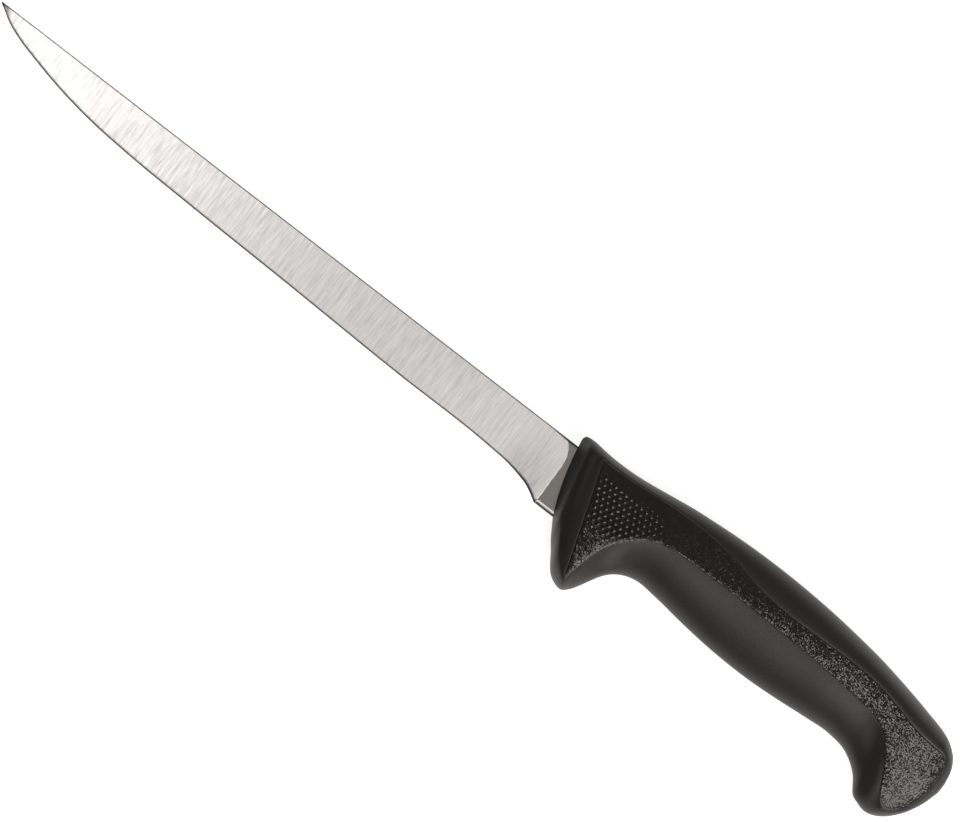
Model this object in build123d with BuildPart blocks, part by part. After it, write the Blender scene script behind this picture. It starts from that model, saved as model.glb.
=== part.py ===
from build123d import *
import os

# Fillet knife with a handle moulded on to its tang in two shots, lying on its side.
# +X runs from the tip to the butt, +Y from the edge to the spine, +Z up through the thickness.
# The origin is under the middle of the knife, on the surface that it lies on.

# Overall sizes, in millimetres
blade_length = 212.0        # tip to the handle's front face, along the spine
handle_length = 145.4       # front face to butt, along the spine line
crown_rise = 8.0            # highest point of the handle above the spine line
guard_drop = 36.3           # lowest point of the finger guard below the spine line
handle_thickness = 20.4     # across the two lower ridges

# Blade
ricasso_width = 20.8        # spine to lower edge, where the blade enters the handle
ricasso_thickness = 2.0
heel_spine_thickness = 1.7  # spine of the ground blade at the heel
tip_spine_thickness = 0.8   # spine of the ground blade at the tip
edge_thickness = 0.3        # behind the cutting bevel
bevel_width = 0.9           # cutting bevel, seen from the side
tip_depth = 0.4             # depth of the blade at its very tip
plunge_run = 7.0            # how far the unground steel reaches forward along the spine
plunge_drop = 9.0           # height over which that reach fades out

# Tang, hidden in the handle
seat_depth = 12.0           # full-width steel behind the handle's front face
tang_length = 95.0          # front face to the tang's end
polish_depth = 0.05         # taken off each side of the strip ahead of the handle
tang_front_width = 12.6
tang_end_width = 9.0
seat_corner_radius = 1.0
tang_end_radius = 3.0
tang_hole_radius = 2.5
tang_hole_count = 3
tang_hole_pitch = 28.0

# Hard core
web_thickness = 9.0         # core between the two skins, round the tang

# Places that follow from the sizes
tip_x = -(blade_length + handle_length) / 2
front_x = tip_x + blade_length
spine_y = (guard_drop - crown_rise) / 2
middle_z = handle_thickness / 2
seat_x = front_x + seat_depth
tang_x = front_x + tang_length
ricasso_low_y = spine_y - ricasso_width
tang_middle_y = spine_y - ricasso_width / 2

# Edge of the ground blade: along from the tip, and depth as a share of the ricasso's width
edge_shares = [
    (0.007, 0.059), (0.023, 0.159), (0.051, 0.274), (0.084, 0.363), (0.146, 0.499),
    (0.202, 0.577), (0.260, 0.619), (0.382, 0.658), (0.547, 0.692), (0.740, 0.741),
    (0.905, 0.761), (0.939, 0.786), (0.960, 0.826), (0.977, 0.872), (0.990, 0.937),
    (1.000, 0.998),
]

# Rings of the handle from the front face to the butt. Each row holds the top point (along, rise),
# the bottom point (along, drop), the crease (down the ring, out), the ridge (down the ring, out),
# how hollow the belly is under the ridge, and how far the panel bulges between crease and ridge.
# Along is a share of the handle's length, rise of the crown's rise, drop of the guard's drop, and
# out and bulge of half the thickness. The first ring stands ahead of the front face, which is cut
# flat at the second.
ring_shares = [
    (-0.012, 0.200, 0.032, 0.500, 0.120, 0.22, 0.800, 0.34, 0.00, 0.02),
    (0.000, 0.347, 0.048, 0.567, 0.120, 0.30, 0.800, 0.44, 0.00, 0.02),
    (0.010, 0.470, 0.061, 0.650, 0.115, 0.41, 0.805, 0.58, 0.00, 0.03),
    (0.026, 0.507, 0.084, 0.780, 0.100, 0.45, 0.820, 0.66, 0.00, 0.04),
    (0.042, 0.485, 0.116, 0.949, 0.080, 0.50, 0.850, 0.72, 0.00, 0.07),
    (0.054, 0.467, 0.148, 1.000, 0.050, 0.54, 0.880, 0.80, 0.00, 0.09),
    (0.078, 0.456, 0.165, 0.949, 0.050, 0.55, 0.800, 0.90, 0.30, 0.06),
    (0.104, 0.456, 0.177, 0.873, 0.050, 0.56, 0.720, 0.95, 0.60, 0.03),
    (0.131, 0.478, 0.188, 0.792, 0.055, 0.57, 0.655, 0.98, 0.80, 0.02),
    (0.157, 0.522, 0.197, 0.728, 0.060, 0.58, 0.610, 0.99, 0.80, 0.01),
    (0.187, 0.595, 0.210, 0.664, 0.070, 0.59, 0.567, 1.00, 0.70, 0.01),
    (0.219, 0.679, 0.229, 0.609, 0.085, 0.60, 0.515, 0.99, 0.40, 0.01),
    (0.257, 0.777, 0.258, 0.572, 0.110, 0.61, 0.488, 0.97, 0.15, 0.01),
    (0.311, 0.872, 0.311, 0.581, 0.135, 0.63, 0.472, 0.95, 0.00, 0.01),
    (0.380, 0.960, 0.380, 0.614, 0.190, 0.68, 0.456, 0.94, 0.00, 0.01),
    (0.460, 1.000, 0.460, 0.642, 0.280, 0.75, 0.442, 0.93, 0.00, 0.01),
    (0.544, 0.971, 0.544, 0.650, 0.306, 0.80, 0.441, 0.93, 0.00, 0.01),
    (0.624, 0.883, 0.624, 0.634, 0.285, 0.82, 0.449, 0.93, 0.00, 0.01),
    (0.695, 0.752, 0.695, 0.608, 0.258, 0.83, 0.469, 0.93, 0.00, 0.01),
    (0.749, 0.628, 0.753, 0.595, 0.240, 0.82, 0.487, 0.92, 0.10, 0.01),
    (0.795, 0.482, 0.805, 0.636, 0.230, 0.82, 0.479, 0.92, 0.40, 0.01),
    (0.831, 0.354, 0.843, 0.743, 0.210, 0.82, 0.482, 0.92, 0.70, 0.01),
    (0.861, 0.241, 0.866, 0.864, 0.190, 0.81, 0.527, 0.91, 0.80, 0.01),
    (0.890, 0.117, 0.886, 0.899, 0.180, 0.80, 0.663, 0.89, 0.80, 0.02),
    (0.914, 0.022, 0.904, 0.916, 0.170, 0.77, 0.806, 0.86, 0.50, 0.02),
    (0.934, -0.080, 0.921, 0.903, 0.155, 0.72, 0.870, 0.80, 0.20, 0.03),
    (0.953, -0.219, 0.940, 0.861, 0.135, 0.65, 0.880, 0.71, 0.00, 0.04),
    (0.970, -0.431, 0.959, 0.788, 0.140, 0.54, 0.880, 0.59, 0.00, 0.05),
    (0.984, -0.693, 0.976, 0.692, 0.150, 0.41, 0.870, 0.44, 0.00, 0.05),
    (0.995, -1.113, 0.991, 0.559, 0.150, 0.26, 0.850, 0.27, 0.00, 0.04),
    (1.000, -1.533, 1.000, 0.442, 0.200, 0.11, 0.800, 0.11, 0.00, 0.02),
]
round_share = 0.55          # reach of a curve's handles where it turns a quarter round
lean_share = 0.35           # lean of the crown's side where it meets the panel
front_reach_share = 0.3     # how far the front face's line is drawn on below the ricasso

# Outline of the hard side panel: along the handle, and drop below the spine line
panel_top_shares = [
    (0.060, -0.052), (0.143, -0.060), (0.233, -0.088), (0.313, -0.084), (0.361, -0.060),
    (0.424, -0.012), (0.484, 0.034), (0.532, 0.050), (0.624, 0.040), (0.733, 0.030),
    (0.795, 0.063), (0.855, 0.117), (0.916, 0.157),
]
panel_butt_shares = [
    (0.916, 0.157), (0.952, 0.153), (0.974, 0.225), (0.980, 0.354), (0.975, 0.499),
    (0.960, 0.644), (0.938, 0.756), (0.918, 0.813),
]
panel_ridge_shares = [
    (0.918, 0.813), (0.904, 0.740), (0.890, 0.603), (0.871, 0.467), (0.845, 0.338),
    (0.811, 0.257), (0.765, 0.225), (0.695, 0.197), (0.604, 0.174), (0.514, 0.164),
    (0.414, 0.161), (0.303, 0.174), (0.257, 0.191), (0.229, 0.233), (0.203, 0.306),
    (0.183, 0.394), (0.167, 0.499), (0.155, 0.628), (0.147, 0.740), (0.137, 0.853),
]

# Outline of the core's web inside the soft skin, in the same shares
web_shares = [
    (0.090, 0.000), (0.220, -0.050), (0.380, -0.120), (0.480, -0.130), (0.620, -0.090),
    (0.760, -0.020), (0.880, 0.110), (0.945, 0.230), (0.962, 0.350), (0.955, 0.500),
    (0.930, 0.680), (0.905, 0.740), (0.880, 0.640), (0.845, 0.500), (0.790, 0.430),
    (0.650, 0.470), (0.500, 0.500), (0.360, 0.460), (0.250, 0.430), (0.190, 0.520),
    (0.155, 0.750), (0.140, 0.780), (0.120, 0.660),
]


def handle_point(along_share, drop_share):
    """Place on the middle plane of the handle, from the front face and the spine line."""
    return front_x + along_share * handle_length, spine_y - drop_share * guard_drop


def blade_section(along_share, depth):
    """Section of the ground blade: flat sides from the spine, and a cutting bevel."""
    place = Plane(
        origin=(tip_x + along_share * blade_length, spine_y, middle_z),
        x_dir=(0, -1, 0),
        z_dir=(1, 0, 0),
    )
    gain = heel_spine_thickness - tip_spine_thickness
    half_spine = (tip_spine_thickness + along_share * gain) / 2
    shoulder = depth - min(bevel_width, depth / 2)
    half_edge = edge_thickness / 2
    with BuildSketch(place) as section:
        with BuildLine():
            Polyline(
                (0, half_spine),
                (shoulder, half_edge),
                (depth, 0),
                (shoulder, -half_edge),
                (0, -half_spine),
                close=True,
            )
        make_face()
    return section.sketch


def handle_ring(row):
    """Section of the handle between its top and bottom points, with a crease and a ridge."""
    top_along, top_rise, bottom_along, bottom_drop = row[:4]
    crease_down, crease_out, ridge_down, ridge_out, hollow, bulge = row[4:]
    top = Vector(front_x + top_along * handle_length, spine_y + top_rise * crown_rise, middle_z)
    bottom_x, bottom_y = handle_point(bottom_along, bottom_drop)
    bottom = Vector(bottom_x, bottom_y, middle_z)
    height = (bottom - top).length
    down = (bottom - top).normalized()
    place = Plane(origin=top, x_dir=down, z_dir=down.cross(Vector(0, 0, 1)))

    crease = Vector(crease_down * height, crease_out * middle_z)
    ridge = Vector(ridge_down * height, ridge_out * middle_z)
    belly = height - ridge.X
    crown_side = Vector(
        crease.X * (1 - round_share),
        crease.Y - lean_share * (ridge.Y - crease.Y),
    )
    belly_side = Vector(
        ridge.X + round_share * belly,
        ridge.Y * (1 - hollow * round_share),
    )
    panel_side = (crease + ridge) / 2 + Vector(0, 2 * bulge * middle_z)
    half = [
        [(0, 0), (0, round_share * crease.Y), (crown_side.X, crown_side.Y), (crease.X, crease.Y)],
        [(crease.X, crease.Y), (panel_side.X, panel_side.Y), (ridge.X, ridge.Y)],
        [(ridge.X, ridge.Y), (belly_side.X, belly_side.Y), (height, round_share * ridge.Y), (height, 0)],
    ]
    upper = [Bezier(*points) for points in half]
    lower = [edge.mirror(Plane.XZ) for edge in upper]
    return place * make_face(upper + lower)


# Line of the handle's front face, from above the spine to below the ricasso
front_top_share, front_rise_share, front_low_share, front_drop_share = ring_shares[1][:4]
front_top = (front_x + front_top_share * handle_length, spine_y + front_rise_share * crown_rise)
front_base = handle_point(front_low_share, front_drop_share)
front_low = (
    front_base[0] + (front_base[0] - front_top[0]) * front_reach_share,
    front_base[1] + (front_base[1] - front_top[1]) * front_reach_share,
)
front_down = Vector(*front_base) - Vector(*front_top)
front_plane = Plane(origin=(*front_top, middle_z), x_dir=front_down, z_dir=Vector(0, 0, 1).cross(front_down))

# Blade: ground part, ricasso and tang, stamped from one strip of steel and polished
with BuildPart() as blade:
    loft([blade_section(0, tip_depth)]
         + [blade_section(along, drop * ricasso_width) for along, drop in edge_shares])
    with BuildSketch(Plane.XY.offset(middle_z)) as strip:
        with BuildLine():
            Bezier(
                (front_x - plunge_run, spine_y),
                (front_x - plunge_run / 3, spine_y),
                (front_x, spine_y - plunge_drop / 3),
                (front_x, spine_y - plunge_drop),
            )
            Polyline(
                (front_x, spine_y - plunge_drop),
                (front_x, ricasso_low_y),
                (seat_x, ricasso_low_y),
                (seat_x, tang_middle_y - tang_front_width / 2),
                (tang_x, tang_middle_y - tang_end_width / 2),
                (tang_x, tang_middle_y + tang_end_width / 2),
                (seat_x, tang_middle_y + tang_front_width / 2),
                (seat_x, spine_y),
                (front_x - plunge_run, spine_y),
            )
        make_face()
        fillet(strip.vertices().group_by(Axis.X)[-1], tang_end_radius)
        seat_corners = strip.vertices().filter_by_position(Axis.X, front_x, tang_x - tang_end_radius)
        fillet([corner for corner in seat_corners if corner.X > front_x + seat_depth / 2],
               seat_corner_radius)
    extrude(amount=ricasso_thickness / 2 + polish_depth, both=True)
    for side in (1, -1):
        with BuildSketch(Plane.XY.offset(middle_z + side * ricasso_thickness / 2)):
            with BuildLine():
                Polyline(front_top, front_low, (tip_x, front_low[1]), (tip_x, front_top[1]), close=True)
            make_face()
        extrude(amount=side * ricasso_thickness, mode=Mode.SUBTRACT)
    with Locations(((seat_x + tang_x) / 2, tang_middle_y, middle_z)):
        with GridLocations(tang_hole_pitch, 0, tang_hole_count, 1):
            Hole(tang_hole_radius)

# Whole handle, before it is shared out between the two shots
handle_rings = [handle_ring(row) for row in ring_shares]
with BuildPart() as handle:
    loft(handle_rings)
    split(bisect_by=front_plane, keep=Keep.TOP)

# Side panels: everything behind the outline of the textured face
with BuildPart() as panel:
    with BuildSketch(Plane.XY.offset(middle_z)):
        with BuildLine():
            Spline(*[handle_point(*place) for place in panel_top_shares])
            Spline(*[handle_point(*place) for place in panel_butt_shares])
            Spline(*[handle_point(*place) for place in panel_ridge_shares])
            Line(handle_point(*panel_ridge_shares[-1]), handle_point(*panel_top_shares[0]))
        make_face()
    extrude(amount=handle_thickness, both=True)

# Web of the core, under the soft skin
with BuildPart() as web:
    with BuildSketch(Plane.XY.offset(middle_z)):
        with BuildLine():
            Spline(*[handle_point(*place) for place in web_shares], periodic=True)
        make_face()
    extrude(amount=web_thickness / 2, both=True)

# Hard core: side panels and web, with plugs through the tang's holes
with BuildPart() as handle_core:
    add(handle.part)
    add(panel.part, mode=Mode.INTERSECT)
    add(web.part)
    add(blade.part, mode=Mode.SUBTRACT)

# Soft grip: the skin left round the core
with BuildPart() as soft_grip:
    add(handle.part)
    add(panel.part, mode=Mode.SUBTRACT)
    add(web.part, mode=Mode.SUBTRACT)
    add(blade.part, mode=Mode.SUBTRACT)

blade.part.label = "blade"
handle_core.part.label = "handle_core"
soft_grip.part.label = "soft_grip"

os.makedirs("parts", exist_ok=True)
export_step(blade.part, "parts/blade.step")
export_step(handle_core.part, "parts/handle_core.step")
export_step(soft_grip.part, "parts/soft_grip.step")
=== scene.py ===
import math

import bpy
import numpy as np
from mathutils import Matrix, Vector


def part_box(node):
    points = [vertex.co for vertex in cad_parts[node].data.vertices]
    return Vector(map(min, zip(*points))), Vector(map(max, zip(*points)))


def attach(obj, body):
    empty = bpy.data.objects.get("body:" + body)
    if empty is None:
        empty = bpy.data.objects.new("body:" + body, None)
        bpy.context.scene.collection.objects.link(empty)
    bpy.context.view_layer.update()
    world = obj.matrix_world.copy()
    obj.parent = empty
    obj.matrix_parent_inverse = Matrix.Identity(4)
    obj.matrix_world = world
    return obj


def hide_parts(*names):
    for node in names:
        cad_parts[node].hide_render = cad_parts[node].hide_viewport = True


# Fillet knife lying on its side: a belt-ground stainless blade in a handle moulded in two shots.
# +X runs from the tip to the butt, +Y from the edge to the spine, +Z up through the thickness.
# Sizes are in millimetres and are turned to metres where a mesh is made.

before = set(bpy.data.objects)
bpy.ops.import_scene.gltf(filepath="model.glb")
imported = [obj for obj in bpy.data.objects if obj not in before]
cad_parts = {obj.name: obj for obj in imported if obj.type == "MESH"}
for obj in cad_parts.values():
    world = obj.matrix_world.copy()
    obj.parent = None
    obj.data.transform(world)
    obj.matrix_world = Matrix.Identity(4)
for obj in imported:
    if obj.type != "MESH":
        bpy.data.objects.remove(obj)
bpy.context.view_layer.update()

MM = 0.001
mirror_gap, seam_gap = 0.001, 0.002     # points of a piece closer than this become one

# Driving sizes, from the frame
blade_low, blade_high = [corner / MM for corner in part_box("blade")]
grip_low, grip_high = [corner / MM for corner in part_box("soft_grip")]
tip_x, front_x, butt_x, tang_x = blade_low.x, grip_low.x, grip_high.x, blade_high.x
spine_y = blade_high.y
middle_z = (grip_low.z + grip_high.z) / 2
blade_length = front_x - tip_x
handle_length = butt_x - front_x
box_margin = 0.01           # the skin stays this far inside the frame's box, above and below
crown_rise = grip_high.y - spine_y - box_margin
guard_drop = spine_y - grip_low.y - box_margin
half_width = (grip_high.z - grip_low.z) / 2
ricasso_width = blade_high.y - blade_low.y

# Blade
half_ricasso = 1.0          # half the thickness of the polished strip
half_heel_spine = 0.85      # half the thickness of the ground spine, at the heel and the tip
half_tip_spine = 0.4
half_heel_edge = 0.42       # half the steel behind the cutting bevel, where the grinding starts
half_edge = 0.14            # and further along
bevel_width = 0.8
spine_round = 0.22          # radius that the spine's corners are eased to
plunge_run = 4.6            # how far the unground steel reaches forward along the spine
plunge_drop = 8.2           # and how far down the blade the plunge line curves
ledge_run_share = 1.05      # width of the ledge along the plunge line, as a share of its rise
ledge_fade = 6              # its painted highlight band fades in and out over a sixth of its width
heel_chamfer = 1.6          # eased lower corner of the ricasso, seen from the side
dark_edge_width = 0.55        # width of the painted grey edge, painted shade for the dark reflection along the steel's edges
eased_fade_shares = (1.0, 1.1)      # the corner's painted highlight band starts beside the painted grey edge
eased_end_shares = (0.85, 0.95)     # and ends just short of its own width
grey_spine_share = 0.6      # the painted grey edge is narrower along the spine, and widens at the heel
grey_spine_fade_shares = (0.8, 1.2)
grey_lower_fade_shares = (0.85, 1.15)
seat_depth = 12.0           # how deep the full width of the steel sits in the handle
tang_front_width = 12.6
tang_end_width = 9.0
tang_shoulder_run = 1.0
tang_end_round = 3.0
tang_hole_radius = 2.5
tang_hole_pitch = 28.0
tang_hole_count = 3

# Net of the blade: where its columns stand close together
tip_run = 12.0
follow_run = 17.0           # length of blade over which the net swings into the plunge line
ledge_reach = 0.6           # fine columns run this far ahead of the ledge and twice that behind

# Handle
lip_radius = 0.4            # rounded edge of the handle's front face
crease_round = 0.8          # rounding where the crown meets the panel
guard_round = 5.0           # rounding of the ridge at the finger guard, up the panel
guard_fall = 1.2            # and down the belly
ridge_round = 0.6           # and both ways along the rest of the handle
groove_width = 0.28         # fall of each shot's edge into the parting line between them
crease_groove = 0.15        # depth of the parting line along the crown
ridge_groove = 0.05         # and along the ridge, where the two shots meet almost flush
shot_gap = 0.03             # clearance between the two shots
panel_lift = 0.12           # the panel stands this much proud of the spine strip
lift_rise = 4.0             # width over which it comes up from the ridge
lift_shares = (0.35, 0.6)   # and where it does so along the handle
bow = 2.3                   # how far the butt's rings bow towards the end
corner_share = 0.16         # how far the panel's corners at the butt are rounded
corner_reach_share = 0.022  # and over how much of the handle's length
guard_wrap_share = 0.05     # how far the panel wraps over the ridge at the guard
guard_end_shares = (0.17, 0.30)     # where the guard's wide ridge runs out along the handle
panel_fine_run = 27.0       # length of panel whose net is fine enough for the finger points
groove_step_share = 0.4     # where a net's middle line lies in the parting line's fall

# Finger points
point_pitch = 1.93          # along a row
point_row_pitch = 1.67
point_radius = 0.63
point_height = 0.42
point_tilt = math.radians(-3)
points_end_shares = (0.205, 0.26)   # where they fade out along the handle
points_low_shares = (0.3, 0.5)      # and where they grow faint down the guard
points_low_fade = 0.9
points_grain_fade = 0.55    # how much of the grain is smoothed away among them
points_from_spine = (1.0, 2.2)      # they rise to their height over these distances
points_from_front = (0.3, 1.3)
points_from_ridge = (1.0, 3.0)

# Edge of the blade: along from the tip, and depth as a share of the ricasso's width
edge_shares = np.array([
    (0.000, 0.019), (0.007, 0.059), (0.023, 0.159), (0.051, 0.274), (0.084, 0.363),
    (0.146, 0.499), (0.202, 0.577), (0.260, 0.619), (0.382, 0.658), (0.547, 0.692),
    (0.740, 0.741), (0.905, 0.761), (0.939, 0.786), (0.960, 0.826), (0.977, 0.872),
    (0.990, 0.937), (1.000, 0.998),
])

# Section of the blade's lower edge: across it, then half thickness at the bevel and at the ricasso
bevel_shares = [
    (0.03, 0.97, 0.998), (0.09, 0.91, 0.985), (0.13, 0.87, 0.95), (0.16, 0.84, 0.91),
    (0.58, 0.42, 0.19), (0.62, 0.38, 0.15), (0.80, 0.20, 0.10), (1.00, 0.03, 0.03),
]

# Rings of the handle from the front face to the butt. Each row holds the top point (along, rise),
# the bottom point (along, drop), the crease (down the ring, out), the ridge (down the ring, out),
# how hollow the belly is under the ridge, how far the panel bulges, and how much the ring bows.
ring_shares = np.array([
    (0.000, 0.347, 0.048, 0.567, 0.120, 0.10, 0.660, 0.18, 0.00, 0.02, -0.36),
    (0.003, 0.450, 0.052, 0.592, 0.118, 0.16, 0.665, 0.26, 0.00, 0.02, -0.35),
    (0.010, 0.510, 0.061, 0.650, 0.115, 0.30, 0.675, 0.43, 0.00, 0.02, -0.34),
    (0.021, 0.528, 0.076, 0.740, 0.105, 0.51, 0.700, 0.63, 0.00, 0.03, -0.30),
    (0.026, 0.530, 0.084, 0.780, 0.100, 0.545, 0.715, 0.67, 0.00, 0.05, -0.28),
    (0.042, 0.502, 0.116, 0.949, 0.080, 0.59, 0.790, 0.79, 0.00, 0.08, -0.16),
    (0.054, 0.482, 0.148, 1.000, 0.050, 0.61, 0.880, 0.87, 0.00, 0.11, 0.00),
    (0.078, 0.456, 0.165, 0.949, 0.050, 0.61, 0.800, 0.905, 0.30, 0.10, 0.00),
    (0.104, 0.456, 0.177, 0.873, 0.050, 0.61, 0.720, 0.93, 0.60, 0.08, 0.00),
    (0.131, 0.478, 0.188, 0.792, 0.055, 0.61, 0.655, 0.955, 0.80, 0.06, 0.00),
    (0.157, 0.522, 0.197, 0.728, 0.060, 0.61, 0.610, 0.98, 0.80, 0.03, 0.00),
    (0.187, 0.595, 0.210, 0.664, 0.070, 0.615, 0.567, 1.00, 0.70, 0.01, 0.00),
    (0.219, 0.679, 0.229, 0.609, 0.085, 0.62, 0.515, 0.99, 0.40, 0.01, 0.00),
    (0.257, 0.777, 0.258, 0.572, 0.110, 0.63, 0.488, 0.97, 0.15, 0.01, 0.00),
    (0.311, 0.872, 0.311, 0.581, 0.135, 0.65, 0.472, 0.95, 0.00, 0.01, 0.00),
    (0.380, 0.960, 0.380, 0.614, 0.190, 0.70, 0.456, 0.94, 0.00, 0.01, 0.00),
    (0.460, 1.000, 0.460, 0.642, 0.280, 0.79, 0.442, 0.93, 0.00, 0.01, 0.00),
    (0.544, 0.971, 0.544, 0.650, 0.306, 0.85, 0.441, 0.93, 0.00, 0.01, 0.00),
    (0.624, 0.883, 0.624, 0.634, 0.285, 0.88, 0.449, 0.93, 0.00, 0.01, 0.00),
    (0.695, 0.752, 0.695, 0.608, 0.258, 0.89, 0.469, 0.93, 0.00, 0.01, 0.00),
    (0.749, 0.628, 0.753, 0.595, 0.240, 0.89, 0.487, 0.92, 0.10, 0.01, 0.00),
    (0.795, 0.482, 0.805, 0.636, 0.230, 0.89, 0.479, 0.92, 0.40, 0.01, 0.00),
    (0.831, 0.354, 0.843, 0.743, 0.210, 0.88, 0.482, 0.92, 0.70, 0.01, 0.00),
    (0.861, 0.241, 0.866, 0.864, 0.190, 0.87, 0.527, 0.91, 0.80, 0.01, 0.00),
    (0.890, 0.117, 0.886, 0.899, 0.180, 0.84, 0.663, 0.89, 0.80, 0.02, 0.00),
    (0.914, 0.022, 0.904, 0.916, 0.170, 0.80, 0.806, 0.86, 0.50, 0.02, 0.19),
    (0.934, -0.080, 0.921, 0.903, 0.155, 0.72, 0.870, 0.80, 0.20, 0.03, 0.50),
    (0.953, -0.219, 0.940, 0.861, 0.135, 0.65, 0.880, 0.71, 0.00, 0.04, 0.81),
    (0.970, -0.431, 0.959, 0.788, 0.140, 0.54, 0.880, 0.59, 0.00, 0.05, 1.00),
    (0.984, -0.693, 0.976, 0.692, 0.150, 0.41, 0.870, 0.44, 0.00, 0.05, 0.63),
    (0.995, -1.113, 0.991, 0.559, 0.150, 0.26, 0.850, 0.27, 0.00, 0.04, 0.25),
    (1.000, -1.533, 1.000, 0.442, 0.200, 0.11, 0.800, 0.11, 0.00, 0.02, 0.00),
])
ring_places = (ring_shares[:, 0] + ring_shares[:, 2]) / 2       # along, halfway down each ring
panel_front_ring, panel_butt_ring = 6, 28
panel_start, panel_end = ring_places[panel_front_ring], ring_places[panel_butt_ring]
round_share = 0.55          # reach of a curve's handles where it turns a quarter round
lean_share = 0.35           # lean of the crown's side where it meets the panel


# Curves and nets

def smooth_rows(places, rows, wanted):
    """Rows of a table read between its lines, on a curve with the table's own mean slopes."""
    rows = rows.reshape(len(places), -1)
    slopes = np.gradient(rows, places, axis=0)
    low = np.clip(np.searchsorted(places, wanted, side="right") - 1, 0, len(places) - 2)
    span = (places[low + 1] - places[low])[:, None]
    part = ((wanted - places[low])[:, None]) / span
    return (
        rows[low] * (1 + 2 * part) * (1 - part) ** 2
        + rows[low + 1] * part ** 2 * (3 - 2 * part)
        + span * slopes[low] * part * (1 - part) ** 2
        - span * slopes[low + 1] * part ** 2 * (1 - part)
    )


def blend_in(value, start, end):
    """0 before start, 1 after end, and a smooth rise between them."""
    part = np.clip((value - start) / (end - start), 0, 1)
    return part * part * (3 - 2 * part)


def blend_shares(value, shares, size):
    """The same rise, between two shares of a size."""
    start, end = shares
    return blend_in(value, start * size, end * size)


def curve_through(points, part):
    """Bezier curve through its first and last point, at a share of its length."""
    points = [np.asarray(point) for point in points]
    while len(points) > 1:
        points = [a + (b - a) * part for a, b in zip(points, points[1:])]
    return points[0]


def shaped_net(name, points):
    """A grid primitive with its vertices moved to their places, which are in rows and columns."""
    rows, columns = points.shape[:2]
    bpy.ops.object.select_all(action="DESELECT")
    bpy.ops.mesh.primitive_grid_add(x_subdivisions=columns - 1, y_subdivisions=rows - 1, size=1)
    piece = bpy.context.object
    piece.name = piece.data.name = name
    piece.data.vertices.foreach_set("co", (points * MM).astype(np.float32).ravel())
    piece.data.update()
    return piece


def drop_faces(piece, faces):
    """Deletes the faces of a net whose numbers are given."""
    marked = np.zeros(len(piece.data.polygons), bool)
    marked[faces] = True
    bpy.context.tool_settings.mesh_select_mode = (False, False, True)
    piece.data.polygons.foreach_set("select", marked)
    bpy.ops.object.mode_set(mode="EDIT")
    bpy.ops.mesh.delete(type="FACE")
    bpy.ops.object.mode_set(mode="OBJECT")


def closed_half(name, nets):
    """Joins the nets of a half, mirrors it in the blade's middle plane and closes the seams, whose
    points lie within a few thousandths of a millimetre."""
    bpy.ops.object.select_all(action="DESELECT")
    for net in nets:
        net.select_set(True)
    bpy.context.view_layer.objects.active = nets[0]
    if len(nets) > 1:
        bpy.ops.object.join()
    piece = bpy.context.object
    piece.name = piece.data.name = name
    mirror = piece.modifiers.new("both sides", "MIRROR")
    mirror.use_axis = (False, False, True)
    mirror.use_mirror_merge = True
    mirror.merge_threshold = mirror_gap * MM
    bpy.ops.object.modifier_apply(modifier=mirror.name)
    bpy.ops.object.mode_set(mode="EDIT")
    bpy.ops.mesh.select_all(action="SELECT")
    bpy.ops.mesh.remove_doubles(threshold=seam_gap * MM)
    bpy.ops.mesh.normals_make_consistent(inside=False)
    bpy.ops.transform.translate(value=(0, 0, middle_z * MM))
    bpy.ops.object.mode_set(mode="OBJECT")
    return piece


def write_share(piece, name, finish):
    """Writes how much of a finish each vertex has, worked out from its x and its depth below the
    spine, as an attribute that the material reads."""
    places = np.zeros(len(piece.data.vertices) * 3)
    piece.data.vertices.foreach_get("co", places)
    places = places.reshape(-1, 3) / MM
    share = piece.data.attributes.new(name, "FLOAT", "POINT")
    share.data.foreach_set("value", finish(places[:, 0], spine_y - places[:, 1]).astype(np.float32))


def finish_piece(piece, node, smooth_angle):
    """Shades a piece and puts it in the place of its CAD node."""
    bpy.ops.object.select_all(action="DESELECT")
    piece.select_set(True)
    bpy.context.view_layer.objects.active = piece
    bpy.ops.object.shade_smooth_by_angle(angle=math.radians(smooth_angle))
    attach(piece, "root")
    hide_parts(node)


# Blade

def blade_depth(x):
    """Depth of the blade, or of the ricasso, below the spine."""
    along = np.clip((x - tip_x) / blade_length, 0, 1)
    ground = smooth_rows(edge_shares[:, 0], edge_shares[:, 1], along)[:, 0] * ricasso_width
    return np.where(x < front_x, ground, ricasso_width)


def plunge_line(depth):
    """How far ahead of the handle's front the ricasso starts, at a depth below the spine."""
    reach = np.clip(1 - depth / plunge_drop, 0, 1)
    return plunge_run * (1 - np.sqrt(1 - reach ** 2))


def unground(x, depth):
    """0 on the ground face and 1 on the ricasso, with a straight ledge along the curved plunge line."""
    fall = np.clip(depth / ricasso_width, 0, 1)
    rise = half_ricasso - half_heel_spine - (half_heel_edge - half_heel_spine) * fall
    return np.clip((x - front_x + plunge_line(depth)) / (ledge_run_share * rise), 0, 1)


def painted_highlight_band(x, depth):
    """1 on the ledge along the plunge line and on the ricasso's eased corner, where the material paints a
    highlight.
    """
    # Painted highlight: the ledge and the eased corner are coloured near-white to stand for the light
    # they catch.
    up_ledge = unground(x, depth)
    ledge = np.clip(ledge_fade * up_ledge, 0, 1) * np.clip(ledge_fade * (1 - up_ledge), 0, 1)
    to_edge = ricasso_width - depth
    eased = blend_shares(to_edge, eased_fade_shares, dark_edge_width)
    eased = eased * (1 - blend_shares(to_edge, eased_end_shares, heel_chamfer))
    return np.maximum(ledge, eased * (up_ledge > 0.9))


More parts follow.
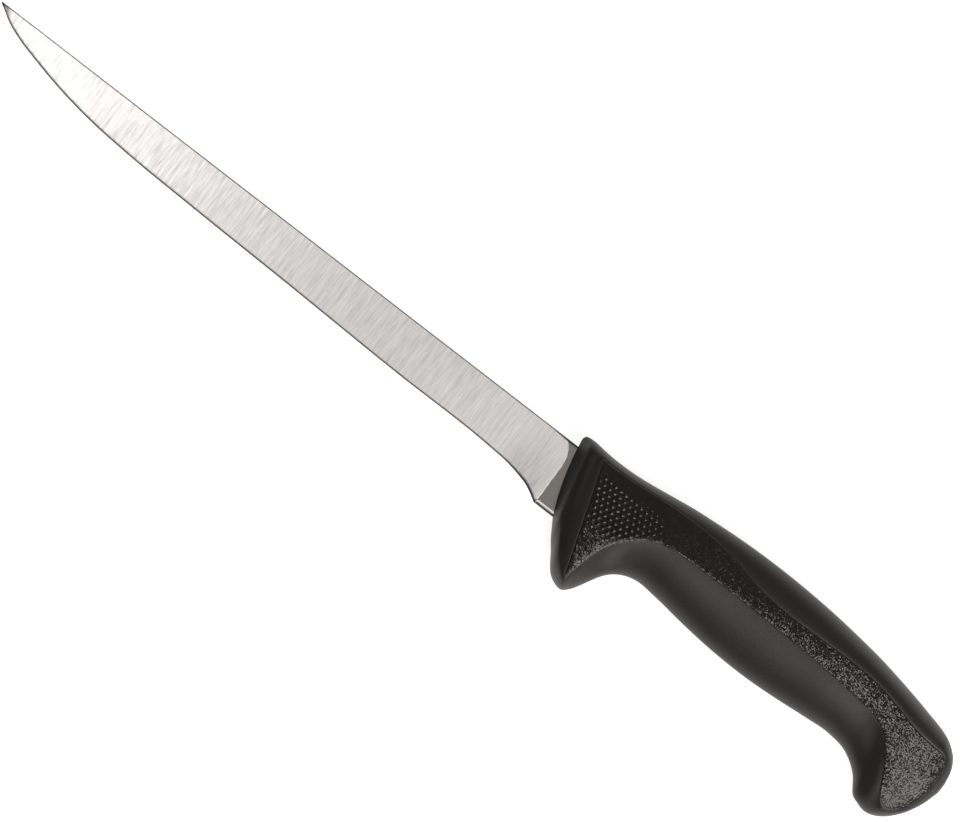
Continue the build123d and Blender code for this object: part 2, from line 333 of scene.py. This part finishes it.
def painted_dark_edge(x, depth):
    """1 on the narrow edges that are painted grey, painted shade for the dark reflection they catch: the
    spine's corner and the lower edge.
    """
    # Painted shade: grey along the spine's corner and the lower edge, standing for their dark reflection.
    at_heel = blend_in(x, front_x - 2 * plunge_run, front_x - plunge_run / 2)
    spine_width = dark_edge_width * grey_spine_share * (1 + at_heel)
    spine = 1 - blend_shares(depth, grey_spine_fade_shares, spine_width)
    lower = 1 - blend_shares(blade_depth(x) - depth, grey_lower_fade_shares, dark_edge_width)
    return np.where(x < front_x + seat_depth, np.maximum(spine, lower), 1)


def make_blade():
    """Ground blade, ricasso and tang as one closed strip of steel."""
    seat_x = front_x + seat_depth
    follow_start = front_x - follow_run
    ledge_start, ledge_end = front_x - ledge_reach, front_x + 2 * ledge_reach
    x = np.concatenate([
        np.linspace(tip_x, tip_x + tip_run, 49)[:-1],
        np.linspace(tip_x + tip_run, follow_start, 150)[:-1],
        np.linspace(follow_start, ledge_start, 60)[:-1],
        np.linspace(ledge_start, ledge_end, 28)[:-1],
        np.linspace(ledge_end, seat_x, 24)[:-1],
        np.linspace(seat_x, seat_x + tang_shoulder_run, 8)[:-1],
        np.linspace(seat_x + tang_shoulder_run, tang_x - tang_end_round, 60)[:-1],
        np.linspace(tang_x - tang_end_round, tang_x, 10),
    ])
    follow = blend_in(x, follow_start, ledge_start) * (1 - blend_in(x, ledge_end, seat_x))
    to_tang = blend_in(x, seat_x, seat_x + tang_shoulder_run)
    taper = np.clip((x - seat_x) / (tang_x - seat_x), 0, 1)
    end_round = 1 - np.sqrt(1 - np.clip((x - tang_x + tang_end_round) / tang_end_round, 0, 1) ** 2)
    tang_width = tang_front_width + (tang_end_width - tang_front_width) * taper
    top = to_tang * (ricasso_width - tang_width) / 2 + tang_end_round * end_round
    bottom = blade_depth(x) - top
    along = np.clip((x - tip_x) / blade_length, 0, 1)
    half_spine = half_tip_spine + along * (half_heel_spine - half_tip_spine)
    half_low = half_edge + (half_heel_edge - half_edge) * blend_in(x, follow_start, front_x)
    heel = unground(x, bottom)
    bevel = np.minimum(bevel_width + (heel_chamfer - bevel_width) * heel, (bottom - top) / 2)
    shoulder = bottom - bevel

    def face(depth):
        """A row of the side at these depths. The net's columns follow the plunge line."""
        place = x - follow * plunge_line(depth)
        fall = np.clip((depth - top) / np.maximum(shoulder - top, 1e-6), 0, 1)
        ground = half_spine + (half_low - half_spine) * fall
        return place, depth, ground + (half_ricasso - ground) * unground(place, depth)

    corner = np.minimum(1, (bottom - top) / (4 * spine_round)) * spine_round
    rows = [(x - follow * plunge_line(top), top, np.zeros_like(x))]
    for turn in np.linspace(0, math.pi / 2, 5):
        place, depth, out = face(top + corner * (1 - math.cos(turn)))
        rows.append((place, depth, out - corner * (1 - math.sin(turn))))
    for share in np.linspace(0, 1, 60)[1:] ** 1.4:      # rows closer together near the spine
        rows.append(face(top + corner + (shoulder - top - corner) * share))
    behind = face(shoulder)[2]
    for across, ground, eased in bevel_shares:
        rows.append((x, shoulder + bevel * across, behind * (ground + (eased - ground) * heel)))
    rows.append((x, bottom, np.zeros_like(x)))

    points = np.stack([np.stack([place, spine_y - depth, out], -1) for place, depth, out in rows])
    nets = [shaped_net("blade side", points)]
    for end in (0, -1):
        chain = points[:, end]
        nets.append(shaped_net("blade end", np.stack([chain, chain * (1, 1, 0)])))
    blade = closed_half("ground_blade", nets)

    hole_middle = (seat_x + tang_x) / 2
    for number in range(tang_hole_count):
        place = hole_middle + (number - (tang_hole_count - 1) / 2) * tang_hole_pitch
        bpy.ops.object.select_all(action="DESELECT")
        bpy.ops.mesh.primitive_cylinder_add(
            vertices=40,
            radius=tang_hole_radius * MM,
            depth=4 * half_ricasso * MM,
            location=(place * MM, (spine_y - ricasso_width / 2) * MM, middle_z * MM),
        )
        drill = bpy.context.object
        cut = blade.modifiers.new("tang hole", "BOOLEAN")
        cut.operation = "DIFFERENCE"
        cut.solver = "EXACT"
        cut.object = drill
        bpy.context.view_layer.objects.active = blade
        bpy.ops.object.modifier_apply(modifier=cut.name)
        bpy.data.objects.remove(drill)

    write_share(blade, "polish", unground)
    # Shares of the painted highlight on the ledge and corner, and of the painted grey shade on the edges.
    write_share(blade, "painted_highlight", painted_highlight_band)
    write_share(blade, "painted_dark_edge", painted_dark_edge)
    blade.data.materials.append(ground_stainless())
    finish_piece(blade, "blade", smooth_angle=30)


# Handle

def handle_surface(along, around):
    """Places on the upper half of the handle. Around is 0 at the crown, 1 at the crease, 2 at the
    ridge and 3 at the belly, and each column of the net is one ring."""
    rings = smooth_rows(ring_places, ring_shares, along)
    top = np.stack([front_x + rings[:, 0] * handle_length, spine_y + rings[:, 1] * crown_rise], -1)
    bottom = np.stack([front_x + rings[:, 2] * handle_length, spine_y - rings[:, 3] * guard_drop], -1)
    height = np.linalg.norm(bottom - top, axis=-1)
    down = (bottom - top) / height[:, None]
    crease_down, crease_out = rings[:, 4] * height, rings[:, 5] * half_width
    ridge_down, ridge_out = rings[:, 6] * height, rings[:, 7] * half_width
    hollow, bulge, bow_share = rings[:, 8], rings[:, 9], rings[:, 10]
    zero = np.zeros_like(height)

    def pair(depth, out):
        """A place in the rings' own planes: how far down the ring, and how far out."""
        return np.stack([depth, out], -1)

    crown = [
        pair(zero, zero),
        pair(zero, round_share * crease_out),
        pair(crease_down * (1 - round_share), crease_out - lean_share * (ridge_out - crease_out)),
        pair(crease_down, crease_out),
    ]
    panel = [
        pair(crease_down, crease_out),
        pair((crease_down + ridge_down) / 2, (crease_out + ridge_out) / 2 + 2 * bulge * half_width),
        pair(ridge_down, ridge_out),
    ]
    belly = [
        pair(ridge_down, ridge_out),
        pair(ridge_down + round_share * (height - ridge_down), ridge_out * (1 - hollow * round_share)),
        pair(height, round_share * ridge_out),
        pair(height, zero),
    ]

    def section(around):
        """Places on the crown, panel and belly curves before their corners are rounded."""
        around = np.broadcast_to(around, (around.shape[0], len(rings)))
        place = np.zeros(around.shape + (2,))
        for number, part_of_ring in enumerate((crown, panel, belly)):
            part = np.clip(around - number, 0, 1)[..., None]
            here = (around >= number) & (around <= number + 1)
            place[here] = curve_through([point[None] for point in part_of_ring], part)[here]
        return place

    place = section(around)
    panel_height = ridge_down - crease_down
    at_guard = 1 - blend_in(along, *guard_end_shares)
    ridge_reach = ridge_round + (guard_round - ridge_round) * at_guard
    ridge_fall = ridge_round + (guard_fall - ridge_round) * at_guard
    for corner, reach, fall, before, after in (
        (1, crease_round, crease_round, crease_down + crease_out, panel_height),
        (2, ridge_reach, ridge_fall, panel_height, height - ridge_down + ridge_out),
    ):
        start = corner - np.minimum(reach / before, 0.5)
        end = corner + np.minimum(fall / after, 0.5)
        part = ((around - start) / (end - start))[..., None]
        legs = [section(np.broadcast_to(stop, (1, len(rings)))) for stop in (start, corner, end)]
        rounded = curve_through(legs, part)
        inside = (part[..., 0] > 0) & (part[..., 0] < 1)
        place = np.where(inside[..., None], rounded, place)
    depth, out = place[..., 0], place[..., 1]
    share = depth / height
    swell = bow * bow_share * 4 * share * (1 - share)
    x = top[:, 0] + down[:, 0] * depth + swell
    y = top[:, 1] + down[:, 1] * depth
    return np.stack([x, y, out], -1)


def panel_edges(along):
    """Where the panel starts and ends around the handle: crease and ridge, rounded at the butt."""
    near = np.clip((along - (panel_end - corner_reach_share)) / corner_reach_share, 0, 1)
    rounding = corner_share * (1 - np.sqrt(1 - near ** 2))
    over_guard = guard_wrap_share * (1 - blend_in(along, *guard_end_shares))
    return 1 + rounding, 2 - rounding + over_guard


def point_field(x, drop):
    """1 where the finger points stand, fading towards the butt and down the guard."""
    fade_butt = 1 - blend_shares(x - front_x, points_end_shares, handle_length)
    fade_tip = 1 - points_low_fade * blend_shares(drop, points_low_shares, guard_drop)
    return fade_butt * fade_tip


def grain_strength(x, drop):
    """The mould's spark texture is finer among the points than on the rest of the panel."""
    return 1 - points_grain_fade * point_field(x, drop)


def finger_points(points, to_ridge, along):
    """Height of the raised finger points over the panel."""
    x, y = points[..., 0], points[..., 1]
    cos, sin = math.cos(point_tilt), math.sin(point_tilt)
    run = (x - front_x) * cos + (y - spine_y) * sin
    rise = -(x - front_x) * sin + (y - spine_y) * cos
    row = np.round(rise / point_row_pitch)
    height = np.zeros_like(x)
    for near in (-1, 0, 1):
        number = row + near
        shift = np.where(number % 2 == 0, 0, point_pitch / 2)
        column = np.round((run - shift) / point_pitch)
        away = np.hypot(run - shift - column * point_pitch, rise - number * point_row_pitch)
        dome = np.cos(np.clip(away / point_radius, 0, 1) * math.pi / 2) ** 2
        height = np.maximum(height, dome)
    drop = spine_y - y
    fade_crown = blend_in(drop, *points_from_spine)
    fade_front = blend_in(along, *[distance / handle_length for distance in points_from_front])
    fade_ridge = blend_in(to_ridge, *points_from_ridge)
    return point_height * height * point_field(x, drop) * fade_crown * fade_front * fade_ridge


def lowered(points, depth):
    """Points moved towards the blade's middle plane by the given depth."""
    moved = points.copy()
    moved[..., 2] = np.maximum(points[..., 2] - depth, 0)
    return moved


def make_core():
    """Hard core: the textured side panels with their finger points, and the wall between them."""
    gap = shot_gap / handle_length
    edge = groove_width / handle_length
    step = edge * groove_step_share
    first, last = panel_start + gap, panel_end - gap
    fine = first + panel_fine_run / handle_length
    along = np.concatenate([
        [first, first + step, first + edge],
        np.linspace(first + edge, fine, 104)[1:-1],
        np.linspace(fine, last - edge, 130)[:-1],
        [last - edge, last - step, last],
    ])
    start, end = panel_edges(along)
    share = np.concatenate([[0, 0.004, 0.012], np.linspace(0.012, 0.988, 112)[1:-1], [0.988, 0.996, 1]])
    around = start + (end - start) * share[:, None]
    points = handle_surface(along, around)

    from_front = (along - first) * handle_length
    from_butt = (last - along) * handle_length
    across = np.linalg.norm(np.diff(points, axis=0), axis=-1).sum(0)
    from_crease = share[:, None] * across
    from_ridge = (1 - share[:, None]) * across
    fall = np.zeros(points.shape[:2])
    for distance, depth in (
        (np.broadcast_to(from_front, fall.shape), ridge_groove),
        (np.broadcast_to(from_butt, fall.shape), crease_groove),
        (from_crease, crease_groove),
        (from_ridge, ridge_groove),
    ):
        fall = np.maximum(fall, depth * (1 - np.clip(distance / groove_width, 0, 1)) ** 2)
    lift = panel_lift * blend_in(along, *lift_shares) * blend_in(from_ridge, 0, lift_rise)
    points = lowered(points, fall - lift)
    points[..., 2] += finger_points(points, from_ridge, along - first)

    border = np.concatenate([points[0, :-1], points[:-1, -1], points[-1, :0:-1], points[::-1, 0]])
    wall = np.stack([border, border * (1, 1, 0)])
    core = closed_half("textured_core", [shaped_net("panel", points), shaped_net("wall", wall)])
    write_share(core, "grain", grain_strength)
    core.data.materials.append(spark_textured_polypropylene())
    finish_piece(core, "handle_core", smooth_angle=60)


def make_skin():
    """Soft shot: front collar, finger guard, spine strip, belly, hook and the rim round the butt."""
    first, last, front = panel_start, panel_end, ring_places[0]
    edge = groove_width / handle_length
    step = edge * groove_step_share
    lip = lip_radius / handle_length
    ahead = np.concatenate([
        front + lip * (1 - np.cos(np.linspace(0, math.pi / 2, 6))),
        np.linspace(front + lip, first - edge, 30)[1:-1],
        [first - edge, first - step, first],
    ])
    beside = np.linspace(first, last, 250)[1:-1]
    behind = np.concatenate([[last, last + step, last + edge], np.linspace(last + edge, 1, 26)[1:]])
    along = np.concatenate([ahead, beside, behind])
    window_start, window_end = len(ahead) - 1, len(ahead) + len(beside)
    start, end = panel_edges(along)
    crown_share = np.concatenate([np.linspace(0, 0.96, 18), [0.985, 1]])
    panel_share = np.linspace(0, 1, 60)
    belly_share = np.concatenate([[0, 0.012], np.linspace(0.03, 1, 26)])
    around = np.concatenate([
        crown_share[:, None] * start,
        start + (end - start) * panel_share[1:-1, None],
        end + (3 - end) * belly_share[:, None],
    ])
    top_row = len(crown_share) - 1
    low_row = top_row + len(panel_share) - 1
    points = handle_surface(along, around)

    beside_window = (along >= first) & (along <= last)
    before = np.clip(np.maximum(first - along, along - last) * handle_length / groove_width, 0, 1)
    crown_out = np.linalg.norm(points[:top_row + 1] - points[top_row], axis=-1) / groove_width
    belly_out = np.linalg.norm(points[low_row:] - points[low_row], axis=-1) / groove_width
    fall = np.zeros(points.shape[:2])
    fall[:top_row + 1] = crease_groove * (1 - np.clip(np.hypot(crown_out, before), 0, 1)) ** 2
    fall[low_row:] = ridge_groove * (1 - np.clip(np.hypot(belly_out, before), 0, 1)) ** 2
    in_front_half = along < 0.5
    end_depth = np.where(in_front_half, ridge_groove, crease_groove) * (1 - before) ** 2
    inner = slice(top_row + 1, low_row)
    fall[inner] = np.where(beside_window & (before > 0), 0, end_depth)
    points = lowered(points, fall)

    lip_turn = np.clip(1 - (along - front) * handle_length / lip_radius, 0, 1)
    lip_fall = lip_radius * (1 - np.sqrt(1 - lip_turn ** 2))
    ring_middle = points.mean(0, keepdims=True) * (1, 1, 0)
    inward = points - ring_middle
    size = np.linalg.norm(inward, axis=-1, keepdims=True)
    points = points - inward / np.maximum(size, 1e-6) * lip_fall[None, :, None]
    points[0, :, 2] = points[-1, :, 2] = 0

    skin = shaped_net("skin", points)
    columns = len(along) - 1
    window = [
        row * columns + column
        for row in range(top_row, low_row)
        for column in range(window_start, window_end)
    ]
    drop_faces(skin, window)
    window_points = points[top_row:low_row + 1, window_start:window_end + 1]
    border = np.concatenate([
        window_points[0, :-1], window_points[:-1, -1], window_points[-1, :0:-1], window_points[::-1, 0],
    ])
    nets = [skin, shaped_net("wall", np.stack([border, border * (1, 1, 0)]))]
    for end_column in (0, -1):
        chain = points[:, end_column]
        nets.append(shaped_net("end", np.stack([chain, chain * (1, 1, 0)])))
    skin = closed_half("soft_skin", nets)
    skin.data.materials.append(satin_elastomer())
    finish_piece(skin, "soft_grip", smooth_angle=50)


# Materials

def linear(hex_colour):
    """sRGB hex colour as linear red, green, blue and alpha."""
    parts = [int(hex_colour[place:place + 2], 16) / 255 for place in (0, 2, 4)]
    return [part / 12.92 if part <= 0.04045 else ((part + 0.055) / 1.055) ** 2.4 for part in parts] + [1]


def add_node(tree, kind, inputs=None, **settings):
    """Adds a node, sets it up, and sets or links its inputs."""
    node = tree.nodes.new(kind)
    for name, value in settings.items():
        setattr(node, name, value)
    for name, value in (inputs or {}).items():
        if isinstance(value, bpy.types.NodeSocket):
            tree.links.new(value, node.inputs[name])
        else:
            node.inputs[name].default_value = value
    return node


def new_material(name):
    """An empty node material with its output and the piece's own coordinates."""
    material = bpy.data.materials.new(name)
    material.use_nodes = True
    tree = material.node_tree
    tree.nodes.clear()
    output = add_node(tree, "ShaderNodeOutputMaterial")
    place = add_node(tree, "ShaderNodeTexCoord").outputs["Object"]
    return material, tree, output, place


def per_metre(size):
    """Scale of a noise whose grain is this many millimetres wide."""
    return 1 / (size * MM)


def stretched(tree, place, across, along):
    """Coordinates for streaks that run across the blade: narrow along it and long across it."""
    scale = (per_metre(across), per_metre(along), per_metre(along))
    return add_node(tree, "ShaderNodeMapping", {"Vector": place, "Scale": scale}).outputs["Vector"]


def ground_stainless():
    """Stainless steel, belt-ground across the blade: short uneven streaks that catch the light side
    by side, over a soft, wide reflection. The belt's scratches are under 0.1 mm wide, too fine to
    show, so the streaks are drawn 0.35 and 0.9 mm wide. The ricasso is left as rolled and lightly
    polished, which makes it darker and clearer. The ledge and the eased corner carry a painted
    highlight in near-white, and the narrow edges a painted grey shade that stands for the dark
    reflection they catch."""
    material, tree, output, place = new_material("belt-ground stainless")
    polish = add_node(tree, "ShaderNodeAttribute", attribute_name="polish").outputs["Fac"]
    painted_highlight = add_node(tree, "ShaderNodeAttribute", attribute_name="painted_highlight").outputs["Fac"]
    dark_edge_shade = add_node(tree, "ShaderNodeAttribute", attribute_name="painted_dark_edge").outputs["Fac"]
    coarse = add_node(tree, "ShaderNodeTexNoise", {
        "Vector": stretched(tree, place, 0.9, 11), "Scale": 1, "Detail": 3, "Roughness": 0.6,
    }).outputs["Fac"]
    fine = add_node(tree, "ShaderNodeTexNoise", {
        "Vector": stretched(tree, place, 0.35, 4.5), "Scale": 1, "Detail": 4, "Roughness": 0.65,
    }).outputs["Fac"]
    both = add_node(tree, "ShaderNodeMath", {0: coarse, 1: fine}, operation="ADD").outputs[0]
    tone = add_node(tree, "ShaderNodeMapRange", {
        "Value": both, "From Min": 0.7, "From Max": 1.3, "To Min": 0, "To Max": 1,
    }).outputs[0]
    streaks = add_node(tree, "ShaderNodeMix", {
        "Factor": tone, 6: linear("BBBABB"), 7: linear("E3E3E6"),
    }, data_type="RGBA").outputs[2]
    colour = add_node(tree, "ShaderNodeMix", {
        "Factor": polish, 6: streaks, 7: linear("C9C6C2"),
    }, data_type="RGBA").outputs[2]
    # Painted highlight: near-white on the ledge and the eased corner, for the light they catch.
    colour = add_node(tree, "ShaderNodeMix", {
        "Factor": painted_highlight, 6: colour, 7: linear("F4F2F0"),
    }, data_type="RGBA").outputs[2]
    # Painted shade: grey on the narrow edges, for the dark reflection they catch.
    colour = add_node(tree, "ShaderNodeMix", {
        "Factor": dark_edge_shade, 6: colour, 7: linear("5C5955"),
    }, data_type="RGBA").outputs[2]
    ground_rough = add_node(tree, "ShaderNodeMapRange", {
        "Value": tone, "To Min": 0.46, "To Max": 0.38,
    }).outputs[0]
    rough = add_node(tree, "ShaderNodeMix", {
        "Factor": polish, 2: ground_rough, 3: 0.24,
    }, data_type="FLOAT").outputs[0]
    rough = add_node(tree, "ShaderNodeMix", {
        "Factor": painted_highlight, 2: rough, 3: 0.2,
    }, data_type="FLOAT").outputs[0]
    ground_bump = add_node(tree, "ShaderNodeMapRange", {
        "Value": polish, "To Min": 0.3, "To Max": 0.0,
    }).outputs[0]
    bump = add_node(tree, "ShaderNodeBump", {
        "Height": both, "Strength": ground_bump, "Distance": 0.02 * MM,
    }).outputs[0]
    shader = add_node(tree, "ShaderNodeBsdfPrincipled", {
        "Base Color": colour, "Metallic": 1.0, "Roughness": rough, "Normal": bump,
    })
    tree.links.new(shader.outputs[0], output.inputs[0])
    return material


def spark_textured_polypropylene():
    """Black polypropylene from a spark-eroded mould: a sand-like grain whose facets lean at random
    and sparkle, over a gentle unevenness. The real facets are about 0.1 mm wide, too fine to show,
    so they are drawn 0.3 mm wide."""
    material, tree, output, place = new_material("spark-textured polypropylene")
    strength = add_node(tree, "ShaderNodeAttribute", attribute_name="grain").outputs["Fac"]
    grain = add_node(tree, "ShaderNodeTexNoise", {
        "Vector": place, "Scale": per_metre(1.0), "Detail": 3, "Roughness": 0.6,
    }).outputs["Fac"]
    bump = add_node(tree, "ShaderNodeBump", {
        "Height": grain, "Strength": strength, "Distance": 0.06 * MM,
    }).outputs[0]
    facets = add_node(tree, "ShaderNodeTexVoronoi", {
        "Vector": place, "Scale": per_metre(0.3), "Randomness": 1.0,
    }, feature="F1").outputs["Color"]
    tilt = add_node(tree, "ShaderNodeVectorMath", {
        0: facets, 1: (0.5, 0.5, 0.5),
    }, operation="SUBTRACT").outputs[0]
    reach = add_node(tree, "ShaderNodeMath", {0: strength, 1: 0.42}, operation="MULTIPLY").outputs[0]
    tilt = add_node(tree, "ShaderNodeVectorMath", {0: tilt, "Scale": reach}, operation="SCALE").outputs[0]
    leaning = add_node(tree, "ShaderNodeVectorMath", {0: bump, 1: tilt}, operation="ADD").outputs[0]
    leaning = add_node(tree, "ShaderNodeVectorMath", {0: leaning}, operation="NORMALIZE").outputs[0]
    shader = add_node(tree, "ShaderNodeBsdfPrincipled", {
        "Base Color": linear("161311"), "Roughness": 0.28, "IOR": 1.5, "Normal": leaning,
    })
    tree.links.new(shader.outputs[0], output.inputs[0])
    return material


def satin_elastomer():
    """Black thermoplastic elastomer from a fine-blasted mould: an even satin with a soft highlight.
    Its grain is drawn 0.5 mm wide, coarser than the real one, so that it breaks up the highlight."""
    material, tree, output, place = new_material("satin elastomer")
    grain = add_node(tree, "ShaderNodeTexNoise", {
        "Vector": place, "Scale": per_metre(0.5), "Detail": 3, "Roughness": 0.5,
    }).outputs["Fac"]
    bump = add_node(tree, "ShaderNodeBump", {
        "Height": grain, "Strength": 0.3, "Distance": 0.1 * MM,
    }).outputs[0]
    shader = add_node(tree, "ShaderNodeBsdfPrincipled", {
        "Base Color": linear("1A1714"), "Roughness": 0.47, "IOR": 1.5, "Normal": bump,
    })
    tree.links.new(shader.outputs[0], output.inputs[0])
    return material


def white_studio_board():
    """Matt white board: it keeps a faint shadow, and the camera and the steel see it as white."""
    material, tree, output, _ = new_material("white studio board")
    rays = add_node(tree, "ShaderNodeLightPath").outputs
    seen = add_node(tree, "ShaderNodeMath", {
        0: rays["Is Camera Ray"], 1: rays["Is Glossy Ray"],
    }, operation="MAXIMUM").outputs[0]
    seen = add_node(tree, "ShaderNodeMath", {
        0: seen, 1: rays["Is Transmission Ray"],
    }, operation="MAXIMUM").outputs[0]
    board = add_node(tree, "ShaderNodeBsdfDiffuse", {"Color": linear("B0B0B0")}).outputs[0]
    white = add_node(tree, "ShaderNodeEmission", {"Color": linear("FFFFFF"), "Strength": 0.86}).outputs[0]
    lit = add_node(tree, "ShaderNodeAddShader", {0: board, 1: white}).outputs[0]
    mixed = add_node(tree, "ShaderNodeMixShader", {0: seen, 1: board, 2: lit})
    tree.links.new(mixed.outputs[0], output.inputs[0])
    return material


# Studio

view_turn = math.radians(37.6915)      # the knife runs down to the right in the picture
picture_width = 960
pixel = 0.292                           # millimetres for each pixel, at the blade's middle plane
view_distance = 3000
view_centre = (4.73, 4.84)
sensor_width = 36
floor_size, far_limit = 6000, 20000
handle_middle = (107, -8, 0)


def make_floor():
    """Board that the knife lies on."""
    bpy.ops.object.select_all(action="DESELECT")
    bpy.ops.mesh.primitive_plane_add(size=floor_size * MM, location=(0, 0, 0))
    floor = bpy.context.object
    floor.name = "studio_floor"
    floor.data.materials.append(white_studio_board())


def make_camera():
    """Long lens straight above the knife, so that it is seen square on."""
    bpy.ops.object.camera_add(
        location=(view_centre[0] * MM, view_centre[1] * MM, (middle_z + view_distance) * MM),
        rotation=(0, 0, view_turn),
    )
    camera = bpy.context.object
    camera.data.sensor_width = sensor_width
    camera.data.lens = sensor_width * view_distance / (picture_width * pixel)
    camera.data.clip_end = far_limit * MM
    bpy.context.scene.camera = camera


def make_lamp(name, place, target, size, brightness, spread):
    """Square soft box with a grid that keeps its light within the spread. Place and target are in
    millimetres from the origin, and a brightness of 1 is the white of the walls."""
    bpy.ops.object.light_add(type="AREA", location=[value * MM for value in place])
    lamp = bpy.context.object
    lamp.name = name
    lamp.data.shape = "SQUARE"
    lamp.data.size = size * MM
    lamp.data.energy = brightness * math.pi * (size * MM) ** 2
    lamp.data.spread = math.radians(spread)
    lamp.data.color = linear("FFFBF6")[:3]
    lamp.rotation_mode = "QUATERNION"
    lamp.rotation_quaternion = (Vector(place) - Vector(target)).to_track_quat("Z", "Y")


def make_world():
    """A white band all round at the height of the table, and dark walls and ceiling above it that
    leave the lamps to draw the highlights."""
    world = bpy.data.worlds.new("studio")
    world.use_nodes = True
    bpy.context.scene.world = world
    tree = world.node_tree
    tree.nodes.clear()
    output = add_node(tree, "ShaderNodeOutputWorld")
    direction = add_node(tree, "ShaderNodeTexCoord").outputs["Generated"]
    parts = add_node(tree, "ShaderNodeSeparateXYZ", {0: direction}).outputs
    band = add_node(tree, "ShaderNodeMapRange", {
        "Value": parts["Z"], "From Min": 0.08, "From Max": 0.24, "To Min": 1.0, "To Max": 0.0,
    }, interpolation_type="SMOOTHSTEP").outputs[0]
    wall = add_node(tree, "ShaderNodeMapRange", {
        "Value": parts["Y"], "From Min": 0.1, "From Max": 0.5, "To Min": 0.03, "To Max": 0.22,
    }, interpolation_type="SMOOTHSTEP").outputs[0]
    bright = add_node(tree, "ShaderNodeMath", {0: band, 1: wall}, operation="MAXIMUM").outputs[0]
    background = add_node(tree, "ShaderNodeBackground", {"Color": linear("FFFDFA"), "Strength": bright})
    tree.links.new(background.outputs[0], output.inputs[0])


make_floor()
make_camera()
make_world()
make_lamp("key", (1220, -460, 2080), handle_middle, size=1600, brightness=6.5, spread=180)
make_lamp("beside the guard", (1090, -1180, 950), handle_middle, size=700, brightness=3.0, spread=180)
make_lamp("over the tip", (-230, 0, 450), (-230, 0, 0), size=200, brightness=0.44, spread=52)
bpy.context.scene.view_settings.view_transform = "Standard"

make_blade()
make_core()
make_skin()
